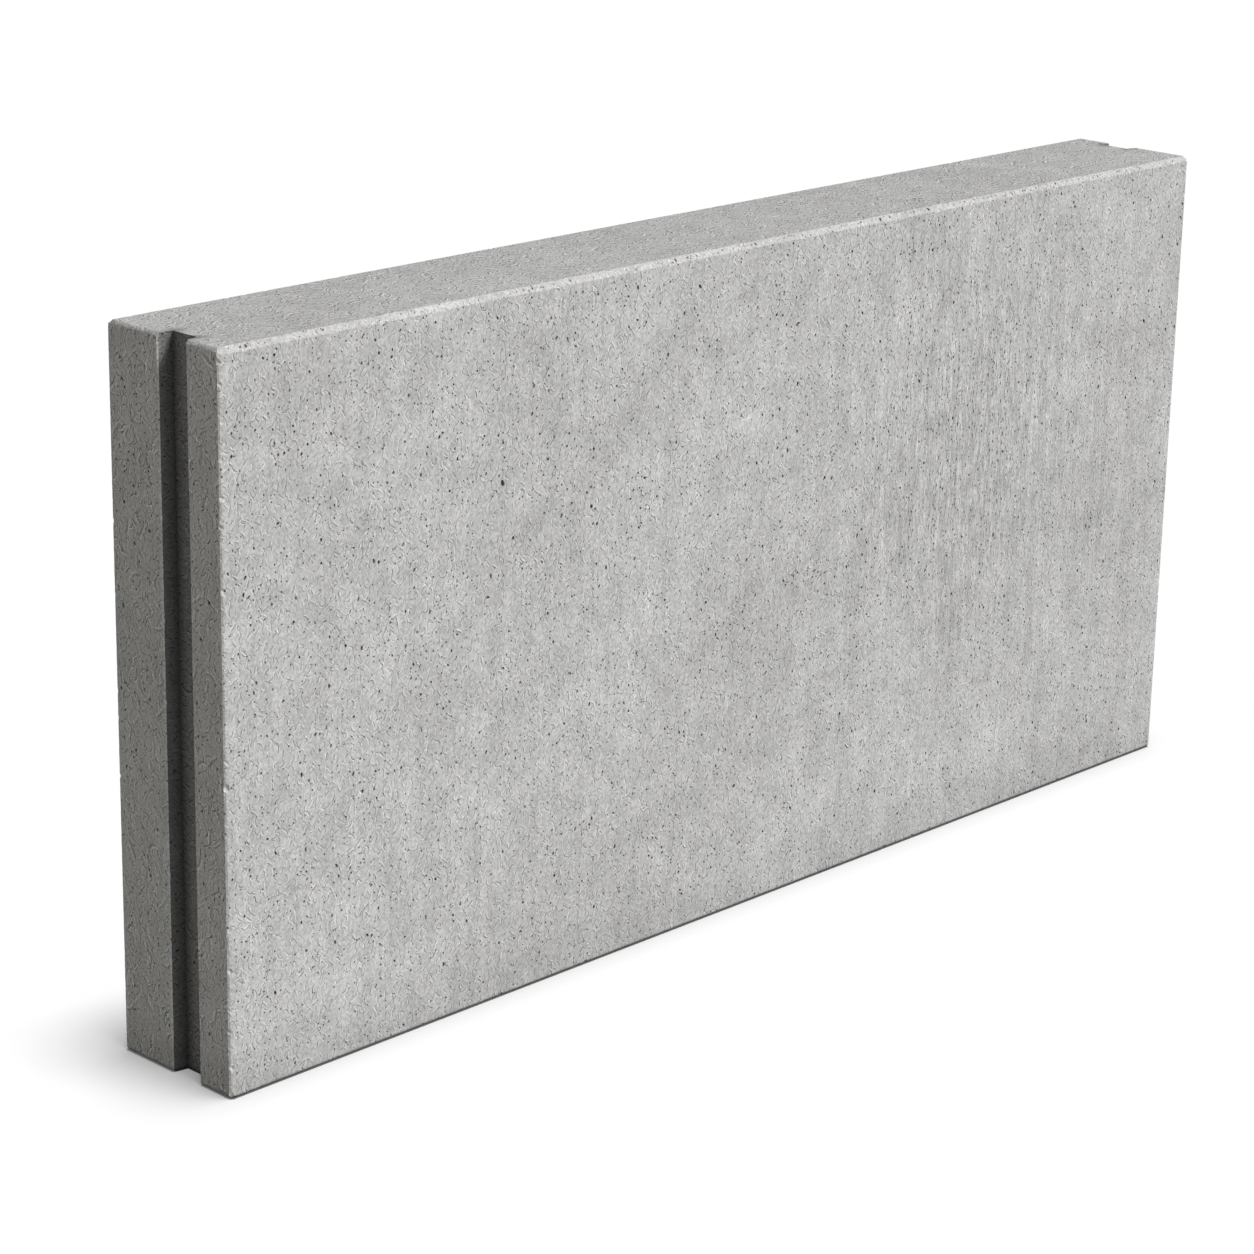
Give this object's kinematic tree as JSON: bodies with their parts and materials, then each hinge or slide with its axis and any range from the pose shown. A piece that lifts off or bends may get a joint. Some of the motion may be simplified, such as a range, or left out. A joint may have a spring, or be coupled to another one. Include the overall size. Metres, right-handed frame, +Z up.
{
  "type": "concrete kerb",
  "caption": "Slab-shaped precast concrete kerb standing on its long narrow edge, with chamfered arrises and a tapered joint groove down each end.",
  "frame": {"origin": "middle of the base, on the ground plane", "axes": "+X along the kerb's length, +Y through its thickness toward the back, +Z up; the exposed face looks along -Y"},
  "size_m": [1, 0.11, 0.5],
  "materials": {
    "concrete": "matt, fair-faced grey concrete with small air holes"
  },
  "bodies": {
    "root": {"kerb": "concrete"}
  },
  "joints": []
}
